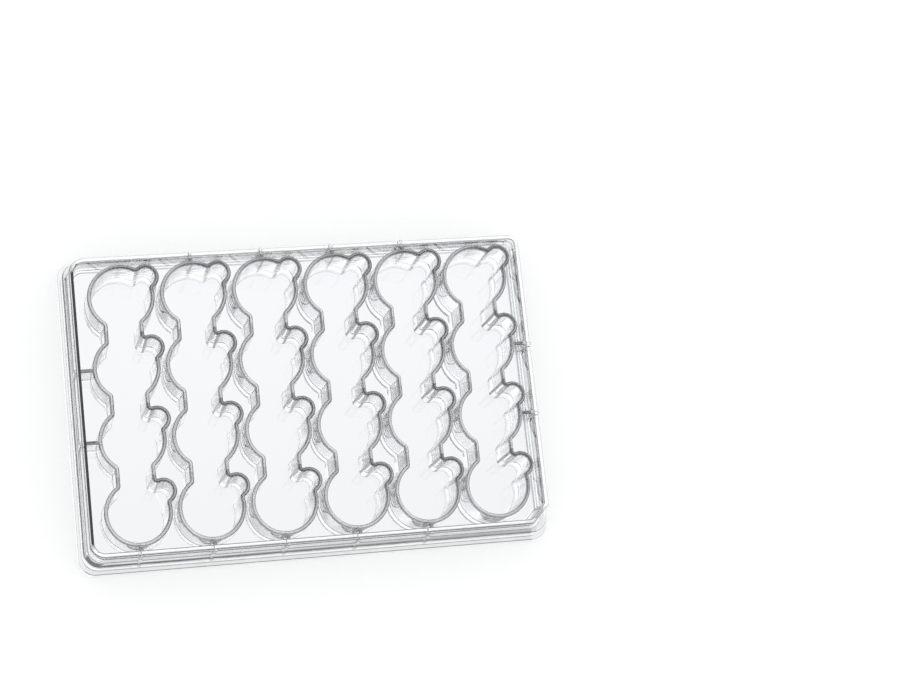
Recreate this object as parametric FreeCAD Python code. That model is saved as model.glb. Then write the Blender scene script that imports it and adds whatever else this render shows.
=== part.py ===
import FreeCAD, Part
import math
import os
from FreeCAD import Vector as V

# A 24-well culture plate with joined wells: one injection moulding in clear
# polystyrene.  Six channels stand in it side by side.  Each is a column of four
# round wells that open into one another through necks, and every well has a
# round ear at its upper right.  Frame: millimetres, +Z up, origin at the middle
# of the foot's underside, +X along the long side, +Y towards row A.

# ---------------------------------------------------------------- dimensions
# footprint and levels
FOOT_X, FOOT_Y = 127.76, 85.48      # standard microplate footprint
FOOT_H = 2.5                        # height of the foot flange
PLATE_H = 17.0                      # foot to rim
LEDGE_H = 8.0                       # ledge on which a lid's edge would stop
DECK_TOP = 6.5                      # deck between the wells, 10.5 below the rim
DECK_T = 1.2
WELL_DEPTH = 15.6                   # rim to the floor of a well
FLOOR_T = 0.9

# outer wall, half sizes at the levels where its draft starts and ends
RIM_X, RIM_Y = 61.55, 40.2          # rim wall, outside, at the rim
RIM_DRAFT = 0.12                    # wider by this at the ledge
RIM_T = 1.25                        # rim wall thickness at the rim
RIM_T_ROOT = 1.4                    # and at the deck
RIM_R = 4.2                         # plan radius of the two rim corners at column 1
RIM_R6 = 2.8                        # and of the one at column 6, row A
CHAMFER = 4.8                       # cut across the fourth, at column 6, row D
SKIRT_X, SKIRT_Y = 62.8, 41.35      # skirt, outside, at the ledge
SKIRT_DRAFT = 0.25                  # wider by this at the foot
SKIRT_T = 1.3
SKIRT_R = 4.4
FOOT_R = 4.4
FOOT_DRAFT = 0.12

# wells
PITCH = 19.3
COLS, ROWS = 6, 4
WALL = 1.2                          # wall of wells, ears and necks, at the rim
WELL_R = 9.0                        # outside radius of a well wall
EAR_R = 3.6                         # outside radius of the ear wall
EAR_X, EAR_Y = 6.95, 5.25           # ear centre from the well centre
NECK_W = 10.66                      # outside width of a neck
NECK_DX = 0.07                      # neck centre line, from the well centres
NOTCH_R = 0.35                      # fillet outside, where two curves meet
RIM_EDGE = 0.2                      # break of the two rim edges of a channel
FLOOR_EDGE = 0.35                   # cove between wall and floor, as a flat

# webs between the outer wells and the rim wall, and lid spacers outside it
WEB_T = 1.0
WEB_DROP = 0.5                      # webs end this far below the rim
SPACER_OUT = 0.45
SPACER_W = 1.1
SPACER_TOP = PLATE_H - 0.6

FLOOR_TOP = PLATE_H - WELL_DEPTH
FLOOR_BOT = FLOOR_TOP - FLOOR_T
xs = [(i - (COLS - 1) / 2.0) * PITCH for i in range(COLS)]
ys = [((ROWS - 1) / 2.0 - j) * PITCH for j in range(ROWS)]   # row A first


# ---------------------------------------------------------------- helpers
def disc(x, y, r):
    return Part.Face(Part.Wire([Part.makeCircle(r, V(x, y, 0))]))


def rect(x0, y0, x1, y1):
    pts = [V(x0, y0, 0), V(x1, y0, 0), V(x1, y1, 0), V(x0, y1, 0), V(x0, y0, 0)]
    return Part.Face(Part.makePolygon(pts))


def corner_wire(hx, hy, z, r, cham=0.0, r6=0.0):
    """Rectangle of half size hx, hy at height z with round corners (r).  The one
    at +X, +Y may have its own radius r6, and the one at +X, -Y may be cut
    straight across by cham."""
    e = []
    s = r * (1 - math.sqrt(0.5))
    c = cham if cham > 0 else r
    q = r6 if r6 > 0 else r
    u = q * (1 - math.sqrt(0.5))
    e.append(Part.makeLine(V(-hx + r, -hy, z), V(hx - c, -hy, z)))
    if cham > 0:
        e.append(Part.makeLine(V(hx - c, -hy, z), V(hx, -hy + c, z)))
    else:
        e.append(Part.Arc(V(hx - r, -hy, z), V(hx - s, -hy + s, z), V(hx, -hy + r, z)).toShape())
    e.append(Part.makeLine(V(hx, -hy + c, z), V(hx, hy - q, z)))
    e.append(Part.Arc(V(hx, hy - q, z), V(hx - u, hy - u, z), V(hx - q, hy, z)).toShape())
    e.append(Part.makeLine(V(hx - q, hy, z), V(-hx + r, hy, z)))
    e.append(Part.Arc(V(-hx + r, hy, z), V(-hx + s, hy - s, z), V(-hx, hy - r, z)).toShape())
    e.append(Part.makeLine(V(-hx, hy - r, z), V(-hx, -hy + r, z)))
    e.append(Part.Arc(V(-hx, -hy + r, z), V(-hx + s, -hy + s, z), V(-hx + r, -hy, z)).toShape())
    return Part.Wire(e)


def drafted(w0, w1):
    return Part.makeLoft([w0, w1], True, True)


def at_z(wire, z):
    w = wire.copy()
    w.translate(V(0, 0, z))
    return w


# ---------------------------------------------------------------- one channel
# Outside outline of a channel in plan, on x = 0: four discs, their ears and
# the three necks, in one face, with a small fillet in each notch.
plan = []
for y in ys:
    plan.append(disc(0, y, WELL_R))
    plan.append(disc(EAR_X, y + EAR_Y, EAR_R))
for a, b in zip(ys[:-1], ys[1:]):
    plan.append(rect(NECK_DX - NECK_W / 2, b, NECK_DX + NECK_W / 2, a))
outline = plan[0].multiFuse(plan[1:]).removeSplitter()
outline = outline.Faces[0]
outline = outline.makeOffset2D(NOTCH_R).makeOffset2D(-NOTCH_R)
outer_wire = outline.Faces[0].OuterWire
# An upright wall of even thickness: the inside outline is the outside one set in.
inner_face = Part.Face(outer_wire).makeOffset2D(-WALL)
inner_wire = inner_face.Faces[0].OuterWire
print("outline edges", len(outer_wire.Edges), len(inner_wire.Edges))

block = Part.Face(at_z(outer_wire, FLOOR_BOT)).extrude(V(0, 0, PLATE_H - FLOOR_BOT))
hollow = Part.Face(at_z(inner_wire, FLOOR_TOP)).extrude(V(0, 0, PLATE_H - FLOOR_TOP))
channel = block.cut(hollow)
print("channel valid", channel.isValid(), len(channel.Solids), round(channel.Volume, 1))


def level_edges(shape, z, tol=1e-4):
    return [e for e in shape.Edges
            if abs(e.BoundBox.ZMin - z) < tol and abs(e.BoundBox.ZMax - z) < tol]


def broken(shape, edges, size, name):
    """The shape with a flat of that size along the edges."""
    try:
        out = shape.makeChamfer(size, edges)
        if out.isValid() and len(out.Solids) == 1:
            return out.Solids[0]
    except Exception as err:
        print("edges left sharp:", name, err)
        return shape
    print("edges left sharp:", name, "gives no valid solid")
    return shape


channel = broken(channel, level_edges(channel, PLATE_H), RIM_EDGE, "rim edges")
channel = broken(channel, level_edges(channel, FLOOR_TOP), FLOOR_EDGE, "floor edge")
print("channel with broken edges", channel.isValid(), round(channel.Volume, 1))

# ---------------------------------------------------------------- outer shell
rim_out = drafted(corner_wire(RIM_X + RIM_DRAFT, RIM_Y + RIM_DRAFT, LEDGE_H - 1.0, RIM_R, CHAMFER, RIM_R6),
                  corner_wire(RIM_X, RIM_Y, PLATE_H, RIM_R, CHAMFER, RIM_R6))
skirt_out = drafted(corner_wire(SKIRT_X + SKIRT_DRAFT, SKIRT_Y + SKIRT_DRAFT, 0, SKIRT_R),
                    corner_wire(SKIRT_X, SKIRT_Y, LEDGE_H, SKIRT_R))
foot = drafted(corner_wire(FOOT_X / 2, FOOT_Y / 2, 0, FOOT_R),
               corner_wire(FOOT_X / 2 - FOOT_DRAFT, FOOT_Y / 2 - FOOT_DRAFT, FOOT_H, FOOT_R - FOOT_DRAFT))
shell = skirt_out.fuse([foot, rim_out])

under = drafted(corner_wire(SKIRT_X - SKIRT_T + 0.35, SKIRT_Y - SKIRT_T + 0.35, 0, SKIRT_R - SKIRT_T),
                corner_wire(SKIRT_X - SKIRT_T, SKIRT_Y - SKIRT_T, DECK_TOP - DECK_T, SKIRT_R - SKIRT_T))
moat = drafted(corner_wire(RIM_X - RIM_T_ROOT, RIM_Y - RIM_T_ROOT, DECK_TOP,
                           RIM_R - RIM_T_ROOT, CHAMFER - 0.6 * RIM_T_ROOT, RIM_R6 - RIM_T_ROOT),
               corner_wire(RIM_X - RIM_T, RIM_Y - RIM_T, PLATE_H, RIM_R - RIM_T,
                           CHAMFER - 0.6 * RIM_T, RIM_R6 - RIM_T))
shell = shell.cut(under).cut(moat)
print("shell", shell.isValid(), len(shell.Solids), round(shell.Volume, 1))

# ---------------------------------------------------------------- webs, spacers
# A web stands in the moat between an outer well and the rim wall.  Below the
# deck it runs on, out to the skirt.
web_top = PLATE_H - WEB_DROP
under_z = DECK_TOP - DECK_T / 2
bars = []
spacers = []


def bar(x0, y0, x1, y1, z0, z1):
    return Part.makeBox(abs(x1 - x0), abs(y1 - y0), z1 - z0, V(min(x0, x1), min(y0, y1), z0))


def web_y(x, side, y_well):
    """Web along Y at x, from the well wall at y_well out to side +1 or -1."""
    a = y_well + side * (WELL_R - 0.7)
    bars.append(bar(x - WEB_T / 2, a, x + WEB_T / 2, side * (RIM_Y - 0.5), under_z, web_top))
    bars.append(bar(x - WEB_T / 2, a, x + WEB_T / 2, side * (SKIRT_Y - SKIRT_T / 2), FOOT_H, under_z))
    spacers.append(bar(x - SPACER_W / 2, side * (RIM_Y - 0.5), x + SPACER_W / 2, side * (RIM_Y + SPACER_OUT),
                       LEDGE_H - 0.5, SPACER_TOP))


def web_x(y, side, x_well):
    """The same along X at y."""
    a = x_well + side * (WELL_R - 0.7)
    bars.append(bar(a, y - WEB_T / 2, side * (RIM_X - 0.5), y + WEB_T / 2, under_z, web_top))
    bars.append(bar(a, y - WEB_T / 2, side * (SKIRT_X - SKIRT_T / 2), y + WEB_T / 2, FOOT_H, under_z))
    spacers.append(bar(side * (RIM_X - 0.5), y - SPACER_W / 2, side * (RIM_X + SPACER_OUT), y + SPACER_W / 2,
                       LEDGE_H - 0.5, SPACER_TOP))


for x in xs[1:-1]:            # row A side: columns 2 to 5
    web_y(x, +1, ys[0])
for x in xs[:-1]:             # row D side: columns 1 to 5
    web_y(x, -1, ys[-1])
for y in ys[1:3]:             # both short sides: rows B and C
    web_x(y, -1, xs[0])
    web_x(y, +1, xs[-1])

shell = shell.fuse(bars + spacers)
# room for the channels
blocks = []
for x in xs:
    b = block.copy()
    b.translate(V(x, 0, 0))
    blocks.append(b)
shell = shell.cut(Part.makeCompound(blocks))
print("shell with room", shell.isValid(), len(shell.Solids))
channels = []
for x in xs:
    c = channel.copy()
    c.translate(V(x, 0, 0))
    channels.append(c)
plate = shell.fuse(channels)
plate = plate.removeSplitter()
print("plate", plate.isValid(), plate.ShapeType, len(plate.Solids), len(plate.Faces), round(plate.Volume, 1))
plate = plate.Solids[0] if len(plate.Solids) == 1 else plate

bb = plate.BoundBox
print("box", [round(v, 3) for v in (bb.XMin, bb.YMin, bb.ZMin, bb.XMax, bb.YMax, bb.ZMax)])
os.makedirs("parts", exist_ok=True)
plate.exportStep("parts/well_plate.step")
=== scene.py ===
import bpy
import bmesh
import math
import numpy as np
from mathutils import Matrix, Vector
from mathutils.geometry import delaunay_2d_cdt


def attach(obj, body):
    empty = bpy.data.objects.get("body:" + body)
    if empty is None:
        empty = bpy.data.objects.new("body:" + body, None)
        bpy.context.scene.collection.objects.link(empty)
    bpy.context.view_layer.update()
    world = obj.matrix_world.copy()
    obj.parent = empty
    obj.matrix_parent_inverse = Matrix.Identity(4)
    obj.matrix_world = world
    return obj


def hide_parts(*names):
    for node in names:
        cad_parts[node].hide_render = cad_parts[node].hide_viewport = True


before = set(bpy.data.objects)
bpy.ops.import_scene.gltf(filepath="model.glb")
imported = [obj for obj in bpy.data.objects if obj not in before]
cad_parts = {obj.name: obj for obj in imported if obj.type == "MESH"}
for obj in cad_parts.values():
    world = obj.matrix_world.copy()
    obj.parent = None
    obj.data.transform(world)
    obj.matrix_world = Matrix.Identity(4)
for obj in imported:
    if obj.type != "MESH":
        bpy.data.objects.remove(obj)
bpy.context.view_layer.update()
scene = bpy.context.scene

# ------------------------------------------------------------------ camera
cam_data = bpy.data.cameras.new("camera")
cam_data.sensor_fit = "HORIZONTAL"
cam_data.sensor_width = 36.0
cam_data.lens = 97.170
cam_data.clip_start = 0.01
cam_data.clip_end = 20.0
cam = bpy.data.objects.new("camera", cam_data)
scene.collection.objects.link(cam)
right = Vector((0.97453724, -0.10770224, 0.1966657))
up = Vector((0.06183842, 0.97216904, 0.22597203))
back = Vector((-0.21553, -0.20805666, 0.95407507))
m = Matrix((right, up, back)).transposed().to_4x4()
m.translation = Vector((-0.10276520, -0.12495178, 0.64633825))
cam.matrix_world = m
scene.camera = cam

# ------------------------------------------------------------------ dimensions
# All in millimetres, the same as the CAD part's; the mesh is scaled to metres
# when it is made.
H = 17.0                          # rim plane
DECK, DECK_UNDER = 6.5, 5.3
FLOOR, FLOOR_UNDER = 1.4, 0.5
LEDGE, FOOT_TOP = 8.0, 2.5
FOOT = (63.88, 42.74)
SKIRT = (62.8, 41.35)
RIM = (61.55, 40.2)
PITCH = 19.3
XS = [(i - 2.5) * PITCH for i in range(6)]
YS = [(1.5 - j) * PITCH for j in range(4)]
WALL, WELL_R, EAR_R, EAR_X, EAR_Y = 1.2, 9.0, 3.6, 6.95, 5.25
NECK_L, NECK_R = -5.26, 5.40
NOTCH = 0.35
DRAFT = 0.22

# how the edges are rounded
RIM_OUT, RIM_IN, RIM_TALL = 0.6, 0.6, 1.1    # a channel's rim: half ellipse this high
ROOT = 0.15                       # well wall into the deck
FLOOR_ROUND = 0.15                # well wall into the well floor


# ------------------------------------------------------------------ outline of a channel
def touching(c, r, other, hint):
    """Centre of the notch fillet that touches circle (c, r) and the other
    circle or upright line from outside, nearest to the hint."""
    a = r + NOTCH
    if other[0] == "line":
        x = other[1] + other[2] * NOTCH
        h = math.sqrt(a * a - (x - c[0]) ** 2)
        opts = [(x, c[1] + h), (x, c[1] - h)]
    else:
        c2, b = other[1], other[2] + NOTCH
        dx, dy = c2[0] - c[0], c2[1] - c[1]
        d = math.hypot(dx, dy)
        t = (a * a - b * b + d * d) / (2 * d)
        h = math.sqrt(a * a - t * t)
        ux, uy = dx / d, dy / d
        opts = [(c[0] + t * ux - h * uy, c[1] + t * uy + h * ux),
                (c[0] + t * ux + h * uy, c[1] + t * uy - h * ux)]
    return min(opts, key=lambda p: math.hypot(p[0] - hint[0], p[1] - hint[1]))


def channel_outline():
    """Points and outward normals of the outline, anticlockwise, on x = 0."""
    W = [("disc", (0.0, y), WELL_R) for y in YS]
    E = [("disc", (EAR_X, y + EAR_Y), EAR_R) for y in YS]
    right, left = ("line", NECK_R, 1.0), ("line", NECK_L, -1.0)
    run, hints = [], []
    for j in (3, 2, 1):
        run += [W[j], E[j], right]
        hints += [(8.75, YS[j] + 2.13), (NECK_R, YS[j] + 8.5), (NECK_R, YS[j - 1] - 7.2)]
    run += [W[0], E[0], W[0], left]
    hints += [(8.75, YS[0] + 2.13), (4.43, YS[0] + 7.83), (NECK_L, YS[0] - 7.3), (NECK_L, YS[1] + 7.3)]
    for j in (1, 2):
        run += [W[j], left]
        hints += [(NECK_L, YS[j] - 7.3), (NECK_L, YS[j + 1] + 7.3)]
    n = len(run)
    cen = []
    for k in range(n):
        a, b = run[k], run[(k + 1) % n]
        if a[0] == "line":
            a, b = b, a
        cen.append(touching(a[1], a[2], b, hints[k]))

    def touch(f, e):
        if e[0] == "line":
            return (e[1], f[1])
        d = math.hypot(f[0] - e[1][0], f[1] - e[1][1])
        return (e[1][0] + (f[0] - e[1][0]) * e[2] / d, e[1][1] + (f[1] - e[1][1]) * e[2] / d)

    pts = []

    def arc(c, r, a0, a1, step, sign):
        m = max(1, int(math.ceil(abs(a1 - a0) / math.radians(step))))
        for i in range(m + 1):
            a = a0 + (a1 - a0) * i / m
            pts.append((c[0] + r * math.cos(a), c[1] + r * math.sin(a), sign * math.cos(a), sign * math.sin(a)))

    for k in range(n):
        e = run[k]
        before, after = cen[k - 1], cen[k]
        if e[0] == "disc":
            a0 = math.atan2(before[1] - e[1][1], before[0] - e[1][0])
            a1 = math.atan2(after[1] - e[1][1], after[0] - e[1][0])
            while a1 < a0:
                a1 += 2 * math.pi
            arc(e[1], e[2], a0, a1, 3.6 if e[2] > 5 else 6.0, 1.0)
        p, q = touch(after, e), touch(after, run[(k + 1) % n])
        b0 = math.atan2(p[1] - after[1], p[0] - after[0])
        b1 = math.atan2(q[1] - after[1], q[0] - after[0])
        while b1 > b0:
            b1 -= 2 * math.pi
        arc(after, NOTCH, b0, b1, 12.0, -1.0)
    out = []
    for p in pts:
        if not out or math.hypot(p[0] - out[-1][0], p[1] - out[-1][1]) > 1e-4:
            out.append(p)
    if math.hypot(out[0][0] - out[-1][0], out[0][1] - out[-1][1]) < 1e-4:
        out.pop()
    return np.array(out)


# ------------------------------------------------------------------ outline of the shell
def frame_outline(hx, hy, r, d=0.0, cham=0.0, r6=None):
    """Rectangle of half size hx, hy moved outwards by d, with 13 points at each
    corner.  The one at +X, -Y may be cut across, the one at +X, +Y may have
    its own radius."""
    r6 = r if r6 is None else r6
    hx, hy, r, r6 = hx + d, hy + d, max(r + d, 0.15), max(r6 + d, 0.15)
    pts = []

    def corner(cx, cy, rad, a0, a1, m):
        for i in range(m):
            a = math.radians(a0 + (a1 - a0) * i / (m - 1))
            pts.append((cx + rad * math.cos(a), cy + rad * math.sin(a)))

    corner(-hx + r, -hy + r, r, 180, 270, 13)
    if cham > 0:
        c = cham + 0.586 * d
        k = 0.7                                    # rounding at both ends of the cut
        t = k * math.tan(math.radians(22.5))
        corner(hx - c - t, -hy + k, k, 270, 315, 7)
        corner(hx - k, -hy + c + t, k, 315, 360, 6)
    else:
        corner(hx - r, -hy + r, r, 270, 360, 13)
    corner(hx - r6, hy - r6, r6, 0, 90, 13)
    corner(-hx + r, hy - r, r, 90, 180, 13)
    return pts


def bend(cx, cz, r, a0, a1, m):
    """m + 1 points of an arc in a wall's section: (across, height)."""
    return [(cx + r * math.cos(math.radians(a0 + (a1 - a0) * i / m)),
             cz + r * math.sin(math.radians(a0 + (a1 - a0) * i / m))) for i in range(m + 1)]


class Solid:
    """Vertices and faces of one closed surface."""

    def __init__(self):
        self.v, self.f = [], []

    def ring(self, pts, z):
        k = len(self.v)
        self.v += [(p[0], p[1], z) for p in pts]
        return np.arange(k, k + len(pts))

    def strip(self, a, b, flip=False):
        n = len(a)
        for i in range(n):
            j = (i + 1) % n
            q = (a[i], a[j], b[j], b[i])
            self.f.append(tuple(int(x) for x in (q[::-1] if flip else q)))

    def fill(self, loops, up=True):
        """Flat face between the first loop and the rest, its holes."""
        ids = np.concatenate(loops)
        xy = np.array([self.v[i][:2] for i in ids])
        edges, k = [], 0
        for lp in loops:
            n = len(lp)
            edges += [(k + i, k + (i + 1) % n) for i in range(n)]
            k += n
        out = delaunay_2d_cdt([Vector(p) for p in xy], edges, [], 0, 1e-6, True)
        back = [o[0] for o in out[3]]
        tri = np.array([[back[i] for i in t] for t in out[2]])
        mid = xy[tri].mean(axis=1)
        inside = np.zeros(len(mid), dtype=bool)
        for a, b in edges:
            (x0, y0), (x1, y1) = xy[a], xy[b]
            if y0 == y1:
                continue
            hit = ((y0 > mid[:, 1]) != (y1 > mid[:, 1]))
            xc = x0 + (mid[:, 1] - y0) * (x1 - x0) / (y1 - y0)
            inside ^= hit & (mid[:, 0] < xc)
        for t in tri[inside]:
            p = xy[t]
            area = (p[1][0] - p[0][0]) * (p[2][1] - p[0][1]) - (p[2][0] - p[0][0]) * (p[1][1] - p[0][1])
            t = t if (area > 0) == up else t[::-1]
            self.f.append(tuple(int(ids[i]) for i in t))


line = channel_outline()
P, N = line[:, :2], line[:, 2:]


def plate_surface():
    s = Solid()
    # the shell: section from the underside of the deck, round the skirt and
    # the rim, to the top of the deck
    sec = []

    def row(half, r, d, z, cham=0.0, r6=None):
        sec.append((half, r, d, z, cham, r6))

    hollow, hollow0 = (61.5, 40.05), (61.85, 40.4)
    for a, z in bend(-0.45, DECK_UNDER - 0.45, 0.45, 90, 0, 3):
        row(hollow, 3.1, a, z)
    for a, z in bend(0.3, 0.3, 0.3, 180, 270, 3):
        row(hollow0, 3.1, a, z)
    for a, z in bend(-0.3, 0.3, 0.3, -90, 0, 3):
        row(FOOT, 4.4, a, z)
    ft = (FOOT[0] - 0.12, FOOT[1] - 0.12)
    for a, z in bend(-0.35, FOOT_TOP - 0.35, 0.35, 0, 90, 4):
        row(ft, 4.28, a, z)
    sk = (SKIRT[0] + 0.17, SKIRT[1] + 0.17)
    for a, z in bend(0.2, FOOT_TOP + 0.2, 0.2, 270, 180, 3):
        row(sk, 4.57, a, z)
    for a, z in bend(-0.35, LEDGE - 0.35, 0.35, 0, 90, 4):
        row(SKIRT, 4.4, a, z)
    rl = (RIM[0] + 0.1, RIM[1] + 0.1)
    for a, z in bend(0.2, LEDGE + 0.2, 0.2, 270, 180, 3):
        row(rl, 4.3, a, z, 4.8, 2.9)
    for a, z in bend(-0.4, H - 0.4, 0.4, 0, 90, 5):
        row(RIM, 4.2, a, z, 4.8, 2.8)
    moat = (RIM[0] - 1.25, RIM[1] - 1.25)
    for a, z in bend(0.4, H - 0.4, 0.4, 90, 180, 5):
        row(moat, 2.95, a, z, 4.07, 1.55)
    md = (RIM[0] - 1.4, RIM[1] - 1.4)
    for a, z in bend(-0.5, DECK + 0.5, 0.5, 0, -90, 5):
        row(md, 2.8, a, z, 3.98, 1.4)
    prev = None
    for half, r, d, z, cham, r6 in sec:
        cur = s.ring(frame_outline(half[0], half[1], r, d, cham, r6), z)
        if prev is None:
            first = cur
        else:
            s.strip(prev, cur)
        prev = cur
    last = prev
    # the channels
    tops, unders = [], []
    up = bend(-ROOT, DECK + ROOT, ROOT, -90, 0, 3)
    up += [(a, H - RIM_TALL + (z - H + RIM_OUT) * RIM_TALL / RIM_OUT)
           for a, z in bend(RIM_OUT, H - RIM_OUT, RIM_OUT, 180, 90, 7)]
    inner = [(a, H - RIM_TALL + (z - H + RIM_IN) * RIM_TALL / RIM_IN)
             for a, z in bend(WALL - RIM_IN, H - RIM_IN, RIM_IN, 90, 0, 7)]
    up += inner if WALL - RIM_IN - RIM_OUT > 1e-3 else inner[1:]
    zf = FLOOR + FLOOR_ROUND
    df = WALL + DRAFT * (H - zf) / (H - FLOOR)
    up += bend(df + FLOOR_ROUND, zf, FLOOR_ROUND, 180, 270, 4)
    down = bend(-ROOT, DECK_UNDER - ROOT, ROOT, 90, 0, 2)
    down += bend(0.15, FLOOR_UNDER + 0.15, 0.15, 180, 270, 2)
    for x in XS:
        off = np.array([x, 0.0])
        for sec2, flip, keep in ((up, False, tops), (down, True, unders)):
            prev = None
            for d, z in sec2:
                cur = s.ring(P - d * N + off, z)
                if prev is None:
                    keep.append(cur)
                else:
                    s.strip(prev, cur, flip)
                prev = cur
            s.fill([prev], up=not flip)
    s.fill([last] + tops, up=True)
    s.fill([first] + unders, up=False)
    return s


def mesh_of(name, verts, faces):
    me = bpy.data.meshes.new(name)
    me.from_pydata([tuple(float(c) for c in v) for v in verts], [], faces)
    me.update()
    return me


def prism(poly, width, along, at, side, base):
    """A flat plate of that width whose side view is poly, points (out, z)."""
    bm = bmesh.new()
    cols = []
    for w in (-width / 2, width / 2):
        col = []
        for u, z in poly:
            if along == "y":
                co = (at + w, base + side * u, z)
            else:
                co = (base + side * u, at + w, z)
            col.append(bm.verts.new(co))
        cols.append(col)
    n = len(poly)
    bm.faces.new(cols[0])
    bm.faces.new(cols[1][::-1])
    for i in range(n):
        j = (i + 1) % n
        bm.faces.new((cols[0][i], cols[1][i], cols[1][j], cols[0][j]))
    bmesh.ops.recalc_face_normals(bm, faces=bm.faces)
    return bm


def webs_and_spacers():
    """Webs between the outer wells and the rim wall, and the small blocks
    outside the rim that a lid rests against, as one mesh of closed parts."""
    verts, faces = [], []

    def add(bm, width):
        # the two long edges at the top and the free edges get a small rounding
        bmesh.ops.bevel(bm, geom=list(bm.edges), offset=width, offset_type="OFFSET", segments=3,
                        profile=0.5, affect="EDGES", clamp_overlap=True)
        bmesh.ops.recalc_face_normals(bm, faces=bm.faces)
        k = len(verts)
        bm.verts.ensure_lookup_table()
        bm.verts.index_update()
        verts.extend([v.co.copy() for v in bm.verts])
        faces.extend([tuple(k + v.index for v in f.verts) for f in bm.faces])
        bm.free()

    def web(along, at, side, base, rim, skirt):
        a = 8.35
        out, low = abs(rim - base) - 0.5, abs(skirt - base) - 0.65
        add(prism([(a, FOOT_TOP), (low, FOOT_TOP), (low, 5.9), (out, 5.9), (out, H - 0.5), (a, H - 0.5)],
                  1.0, along, at, side, base), 0.3)
        sp = [(abs(rim - base) - 0.4, LEDGE - 0.5), (abs(rim - base) + 0.45, LEDGE - 0.5),
              (abs(rim - base) + 0.45, H - 0.6), (abs(rim - base) - 0.4, H - 0.6)]
        add(prism(sp, 1.1, along, at, side, base), 0.2)

    for x in XS[1:-1]:
        web("y", x, 1, YS[0], RIM[1], SKIRT[1])
    for x in XS[:-1]:
        web("y", x, -1, YS[-1], -RIM[1], -SKIRT[1])
    for y in YS[1:3]:
        web("x", y, -1, XS[0], -RIM[0], -SKIRT[0])
        web("x", y, 1, XS[-1], RIM[0], SKIRT[0])
    return mesh_of("webs", verts, faces)


def union(a, b):
    oa, ob = bpy.data.objects.new("a", a), bpy.data.objects.new("b", b)
    scene.collection.objects.link(oa)
    scene.collection.objects.link(ob)
    m = oa.modifiers.new("join", "BOOLEAN")
    m.operation, m.object, m.solver = "UNION", ob, "MANIFOLD"
    me = bpy.data.meshes.new_from_object(oa.evaluated_get(bpy.context.evaluated_depsgraph_get()))
    bpy.data.objects.remove(oa)
    bpy.data.objects.remove(ob)
    return me


# ------------------------------------------------------------------ the plate
skin = plate_surface()
body = union(mesh_of("plate", skin.v, skin.f), webs_and_spacers())
body.transform(Matrix.Scale(0.001, 4))
body.name = "plate_body"
plate = bpy.data.objects.new("plate_body", body)
scene.collection.objects.link(plate)
# Curved faces smooth, creases sharp, and the flats kept flat: each corner's
# normal leans to its larger faces.
body.shade_smooth()
body.set_sharp_from_angle(angle=math.radians(34))
wn = plate.modifiers.new("normals", "WEIGHTED_NORMAL")
wn.mode, wn.weight, wn.keep_sharp = "FACE_AREA", 50, True
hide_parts("well_plate")
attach(plate, "root")

# ------------------------------------------------------------------ material
# Clear, very slightly smoky moulded polystyrene.  The rims' tops are greyer than
# the rest: painted shade in the base colour, standing in for the dark lines the
# light makes where the rims are seen down the whole height of the wall; the
# upright walls carry the faint drag marks of the mould, the flats its fine polish.
mat = bpy.data.materials.new("clear_polystyrene")
mat.use_nodes = True
nt = mat.node_tree
shader = nt.nodes["Principled BSDF"]
shader.inputs["Transmission Weight"].default_value = 1.0
shader.inputs["IOR"].default_value = 1.59


def node(tree, kind, **values):
    n = tree.nodes.new(kind)
    for k, v in values.items():
        setattr(n, k, v)
    return n


def put(tree, socket, v):
    if isinstance(v, bpy.types.NodeSocket):
        tree.links.new(v, socket)
    else:
        socket.default_value = v


def calc(tree, op, a, b=0.0, c=0.0):
    n = node(tree, "ShaderNodeMath", operation=op)
    for i, v in enumerate((a, b, c)):
        put(tree, n.inputs[i], v)
    return n.outputs[0]


def ramp(tree, v, lo, hi, at_lo=0.0, at_hi=1.0):
    n = node(tree, "ShaderNodeMapRange", interpolation_type="SMOOTHSTEP")
    for name, w in (("Value", v), ("From Min", lo), ("From Max", hi), ("To Min", at_lo), ("To Max", at_hi)):
        put(tree, n.inputs[name], w)
    return n.outputs["Result"]


def noise(tree, coord, scale, detail=2.0, stretch=(1, 1, 1)):
    mp = node(tree, "ShaderNodeMapping")
    mp.inputs["Scale"].default_value = stretch
    tree.links.new(coord, mp.inputs["Vector"])
    n = node(tree, "ShaderNodeTexNoise")
    n.inputs["Scale"].default_value = scale
    n.inputs["Detail"].default_value = detail
    tree.links.new(mp.outputs["Vector"], n.inputs["Vector"])
    return n.outputs["Fac"]


where = node(nt, "ShaderNodeTexCoord").outputs["Object"]
split = node(nt, "ShaderNodeSeparateXYZ")
nt.links.new(where, split.inputs[0])
px, py, pz = split.outputs
facing = node(nt, "ShaderNodeSeparateXYZ")
nt.links.new(node(nt, "ShaderNodeNewGeometry").outputs["True Normal"], facing.inputs[0])
upright = ramp(nt, calc(nt, "ABSOLUTE", facing.outputs[2]), 0.15, 0.5, 1.0, 0.0)
# how far into the rim: nothing below the rounded edge, all of it at the top
rim = ramp(nt, pz, 0.0161, 0.0167)
# the wells' rims, not the rim wall round the edge
middle = calc(nt, "MULTIPLY", ramp(nt, calc(nt, "ABSOLUTE", px), 0.0595, 0.0600, 1.0, 0.0),
              ramp(nt, calc(nt, "ABSOLUTE", py), 0.0386, 0.0390, 1.0, 0.0))
cloud = noise(nt, where, 260.0, 2.0)
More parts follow.
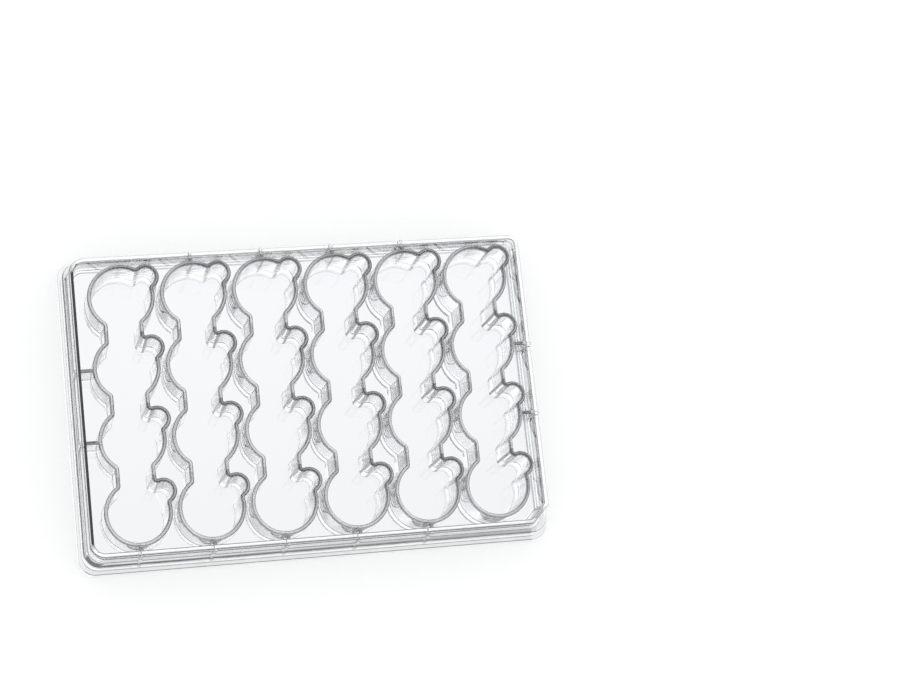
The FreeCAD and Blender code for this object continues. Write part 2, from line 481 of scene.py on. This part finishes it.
# direction from the middle of the nearest well: painted shade on the wells' rims,
# darkest towards the small lobe and lighter round to the far side
wx = calc(nt, "SUBTRACT", calc(nt, "FLOORED_MODULO", calc(nt, "ADD", px, 0.04825 + 0.0579 + 0.0088), 0.0193), 0.0088)
wy = calc(nt, "SUBTRACT", calc(nt, "FLOORED_MODULO", calc(nt, "ADD", py, 0.02895 + 0.0579 + 0.00965), 0.0193), 0.00965)
far_off = calc(nt, "SQRT", calc(nt, "ADD", calc(nt, "MULTIPLY", wx, wx), calc(nt, "MULTIPLY", wy, wy)))
lobe = calc(nt, "DIVIDE", calc(nt, "ADD", calc(nt, "MULTIPLY", wx, 0.574), calc(nt, "MULTIPLY", wy, 0.819)),
            calc(nt, "MAXIMUM", far_off, 0.001))
tone = calc(nt, "ADD", 0.26, calc(nt, "MULTIPLY", lobe, -0.15))
tone = calc(nt, "ADD", tone, calc(nt, "MULTIPLY", calc(nt, "MULTIPLY", lobe, lobe), -0.08))
tone = calc(nt, "ADD", tone, calc(nt, "MULTIPLY", calc(nt, "SUBTRACT", cloud, 0.5), 0.25))
# a thin painted highlight: a lighter line along the crest
crest_highlight = ramp(nt, facing.outputs[2], 0.86, 0.98)
tone = calc(nt, "ADD", tone, calc(nt, "MULTIPLY", crest_highlight, 0.05))
tone = calc(nt, "MAXIMUM", tone, 0.05)
# the webs' tops, which get painted shade
inboard = calc(nt, "MULTIPLY", calc(nt, "LESS_THAN", calc(nt, "ABSOLUTE", px), 0.0603),
               calc(nt, "LESS_THAN", calc(nt, "ABSOLUTE", py), 0.0389))
web = calc(nt, "MAXIMUM",
           calc(nt, "MULTIPLY", calc(nt, "LESS_THAN", calc(nt, "ABSOLUTE", wx), 0.00062),
                calc(nt, "GREATER_THAN", calc(nt, "ABSOLUTE", py), 0.0379)),
           calc(nt, "MULTIPLY", calc(nt, "LESS_THAN", calc(nt, "ABSOLUTE", wy), 0.00062),
                calc(nt, "GREATER_THAN", calc(nt, "ABSOLUTE", px), 0.0572)))
web = calc(nt, "MULTIPLY", web, inboard)
# the shell round the outside has a pale grey tone all over, varying at random, with
# painted shade on its rounded edges and, deepest of all, a painted dark line along
# the left rim's inner edge
flat = calc(nt, "ABSOLUTE", facing.outputs[2])
rounded_edge_shade = calc(nt, "MULTIPLY", ramp(nt, flat, 0.10, 0.30), ramp(nt, flat, 0.93, 0.99, 1.0, 0.0))
left_rim_shade = calc(nt, "MULTIPLY", ramp(nt, px, -0.06112, -0.06102), ramp(nt, px, -0.06020, -0.06012, 1.0, 0.0))
left_rim_shade = calc(nt, "MULTIPLY", calc(nt, "MULTIPLY", left_rim_shade, ramp(nt, pz, 0.0120, 0.0150)),
            ramp(nt, calc(nt, "ABSOLUTE", py), 0.0362, 0.0378, 1.0, 0.0))
edge_tone = calc(nt, "ADD", 0.88, calc(nt, "MULTIPLY", calc(nt, "SUBTRACT", cloud, 0.5), 0.2))
edge_tone = calc(nt, "MULTIPLY", edge_tone, calc(nt, "SUBTRACT", 1.0, calc(nt, "MULTIPLY", rounded_edge_shade, 0.8)))
edge_tone = calc(nt, "MULTIPLY", edge_tone, calc(nt, "SUBTRACT", 1.0, calc(nt, "MULTIPLY", left_rim_shade, 0.9995)))
tone = calc(nt, "ADD", edge_tone, calc(nt, "MULTIPLY", middle, calc(nt, "SUBTRACT", tone, edge_tone)))
# painted shade on the webs: grey, darkening to near black at their tops
tone = calc(nt, "ADD", calc(nt, "MULTIPLY", tone, calc(nt, "SUBTRACT", 1.0, web)),
            calc(nt, "MULTIPLY", web, ramp(nt, pz, 0.0157, 0.0164, 0.55, 0.07)))
# two upright lines of painted shade down the rounded corner where a neck's wall
# turns into the small lobe, and one where a web meets the wall of a top well
corner = None
for cx, cy in ((0.00425, 0.00861), (0.00583, 0.00746)):
    ex, ey = calc(nt, "SUBTRACT", wx, cx), calc(nt, "SUBTRACT", wy, cy)
    near_by = calc(nt, "SQRT", calc(nt, "ADD", calc(nt, "MULTIPLY", ex, ex), calc(nt, "MULTIPLY", ey, ey)))
    c = ramp(nt, near_by, 0.00030, 0.00052, 1.0, 0.0)
    corner = c if corner is None else calc(nt, "MAXIMUM", corner, c)
# the top row's lobes join the wells without a neck
corner = calc(nt, "MULTIPLY", corner, calc(nt, "LESS_THAN", py, 0.0300))
web_joint_shade = calc(nt, "MULTIPLY", ramp(nt, calc(nt, "ABSOLUTE", wx), 0.00030, 0.00050, 1.0, 0.0),
             calc(nt, "MULTIPLY", calc(nt, "GREATER_THAN", py, 0.0355), calc(nt, "LESS_THAN", calc(nt, "ABSOLUTE", px), 0.040)))
web_joint_shade = calc(nt, "MULTIPLY", web_joint_shade, ramp(nt, pz, 0.0050, 0.0080))
corner = calc(nt, "MULTIPLY", calc(nt, "MAXIMUM", corner, calc(nt, "MULTIPLY", web_joint_shade, 0.9)), upright)
tone = calc(nt, "MINIMUM", tone, calc(nt, "SUBTRACT", 1.0, calc(nt, "MULTIPLY", corner, 0.96)))
mix = node(nt, "ShaderNodeMix", data_type="RGBA")
inner = calc(nt, "MAXIMUM", calc(nt, "MAXIMUM", rim, corner), calc(nt, "MULTIPLY", web, calc(nt, "GREATER_THAN", pz, 0.0068)))
# painted light: the shell takes less of its grey, so looks clearer, low on the left foot as a painted highlight and on
# the +X and +Y sides where the light falls
foot_left_highlight = calc(nt, "MULTIPLY", calc(nt, "LESS_THAN", pz, 0.0027), calc(nt, "LESS_THAN", px, -0.0624))
lit_side_highlight = calc(nt, "MAXIMUM", calc(nt, "GREATER_THAN", px, 0.0595), calc(nt, "GREATER_THAN", py, 0.0385))
outer = calc(nt, "MULTIPLY", calc(nt, "SUBTRACT", 1.0, calc(nt, "MULTIPLY", foot_left_highlight, 0.85)),
             calc(nt, "SUBTRACT", 1.0, calc(nt, "MULTIPLY", lit_side_highlight, 0.6)))
amount = calc(nt, "ADD", calc(nt, "MULTIPLY", middle, inner), calc(nt, "MULTIPLY", calc(nt, "SUBTRACT", 1.0, middle), outer))
nt.links.new(amount, mix.inputs[0])
mix.inputs["A"].default_value = (0.985, 0.993, 1.0, 1)
grey = node(nt, "ShaderNodeCombineColor")
nt.links.new(calc(nt, "MULTIPLY", tone, 0.985), grey.inputs[0])
nt.links.new(calc(nt, "MULTIPLY", tone, 0.995), grey.inputs[1])
nt.links.new(tone, grey.inputs[2])
nt.links.new(grey.outputs[0], mix.inputs["B"])
nt.links.new(mix.outputs["Result"], shader.inputs["Base Color"])
# roughness: mould drag up the walls, polish on the flats
drag = noise(nt, where, 180.0, 2.0, (1, 1, 0.12))
polish = noise(nt, where, 90.0, 2.0)
rough = calc(nt, "ADD", 0.003, calc(nt, "MULTIPLY", polish, 0.008))
rough = calc(nt, "ADD", rough, calc(nt, "MULTIPLY", calc(nt, "MULTIPLY", upright, drag), 0.02))
nt.links.new(rough, shader.inputs["Roughness"])
# the same two marks as a very slight ripple
bump = node(nt, "ShaderNodeBump")
bump.inputs["Strength"].default_value = 0.06
bump.inputs["Distance"].default_value = 0.00001
ripple = calc(nt, "ADD", calc(nt, "MULTIPLY", polish, 1.0), calc(nt, "MULTIPLY", drag, 0.1))
nt.links.new(ripple, bump.inputs["Height"])
nt.links.new(bump.outputs["Normal"], shader.inputs["Normal"])
vol = nt.nodes.new("ShaderNodeVolumeAbsorption")
vol.inputs["Color"].default_value = (0.0, 0.0, 0.0, 1)
vol.inputs["Density"].default_value = 8.0
nt.links.new(vol.outputs["Volume"], nt.nodes["Material Output"].inputs["Volume"])
body.materials.clear()
body.materials.append(mat)
for p in body.polygons:
    p.material_index = 0

# ------------------------------------------------------------------ floor, light
bpy.ops.mesh.primitive_plane_add(size=6.0, location=(0, 0, -0.0002))
floor = bpy.context.object
floor.name = "floor"
fm = bpy.data.materials.new("floor")
fm.use_nodes = True
fb = fm.node_tree.nodes["Principled BSDF"]
fb.inputs["Base Color"].default_value = (0.42, 0.42, 0.42, 1)
fb.inputs["Specular IOR Level"].default_value = 0.0
fb.inputs["Roughness"].default_value = 0.6
fb.inputs["Emission Color"].default_value = (1, 1, 1, 1)
fb.inputs["Emission Strength"].default_value = 0.64
floor.data.materials.append(fm)
floor.visible_transmission = False
floor.visible_glossy = False

world = bpy.data.worlds.new("world")
scene.world = world
world.use_nodes = True
wt = world.node_tree
bg = wt.nodes["Background"]
# By direction: the lit table is below, brightest near straight down and, past
# that, only towards +X, with the soft room above.  Seen directly it is pale.
sep = node(wt, "ShaderNodeSeparateXYZ")
wt.links.new(node(wt, "ShaderNodeTexCoord").outputs["Generated"], sep.inputs[0])
X, Y, Z = sep.outputs
S = calc(wt, "SQRT", calc(wt, "ADD", calc(wt, "MULTIPLY", X, X), calc(wt, "MULTIPLY", Y, Y)))
towards = calc(wt, "DIVIDE", calc(wt, "ADD", calc(wt, "MULTIPLY", X, 0.940), calc(wt, "MULTIPLY", Y, 0.342)),
               calc(wt, "MAXIMUM", S, 0.001))
far = ramp(wt, towards, -0.3, 0.5, 0.15, 0.8)
# lowest of all, the pale floor and walls of the room all round
far = calc(wt, "MAXIMUM", far, ramp(wt, S, 0.66, 0.84, 0.15, 0.72))
near = ramp(wt, S, 0.36, 0.46, 1.0, 0.0)
dx = calc(wt, "DIVIDE", calc(wt, "SUBTRACT", X, 0.157), 0.135)
dy = calc(wt, "DIVIDE", calc(wt, "SUBTRACT", Y, 0.195), 0.105)
behind = calc(wt, "DIVIDE", calc(wt, "MULTIPLY", calc(wt, "ADD", X, Y), -0.7071), calc(wt, "MAXIMUM", S, 0.001))
ring = ramp(wt, behind, 0.45, 0.85, 1.35, 1.7)
off = calc(wt, "SQRT", calc(wt, "ADD", calc(wt, "MULTIPLY", dx, dx), calc(wt, "MULTIPLY", dy, dy)))
low = calc(wt, "ADD", calc(wt, "MULTIPLY", near, ramp(wt, off, 1.0, 1.35, ramp(wt, Y, 0.12, 0.24, 0.925, 0.97), ring)), calc(wt, "MULTIPLY", calc(wt, "SUBTRACT", 1.0, near), far))
below = ramp(wt, Z, -0.03, 0.03, 1.0, 0.0)
light = calc(wt, "ADD", calc(wt, "MULTIPLY", below, low), calc(wt, "SUBTRACT", 1.0, below))
seen = node(wt, "ShaderNodeLightPath").outputs["Is Camera Ray"]
light = calc(wt, "ADD", calc(wt, "MULTIPLY", seen, 1.0),
             calc(wt, "MULTIPLY", calc(wt, "SUBTRACT", 1.0, seen), light))
wt.links.new(light, bg.inputs["Strength"])
bg.inputs["Color"].default_value = (0.978, 0.992, 1.0, 1)

scene.view_settings.view_transform = "Standard"
scene.cycles.max_bounces = 28
scene.cycles.transmission_bounces = 28
scene.cycles.glossy_bounces = 12
scene.cycles.diffuse_bounces = 1
scene.cycles.use_adaptive_sampling = False
scene.cycles.sampling_pattern = "TABULATED_SOBOL"
world.cycles.sampling_method = "NONE"
scene.cycles.transparent_max_bounces = 32
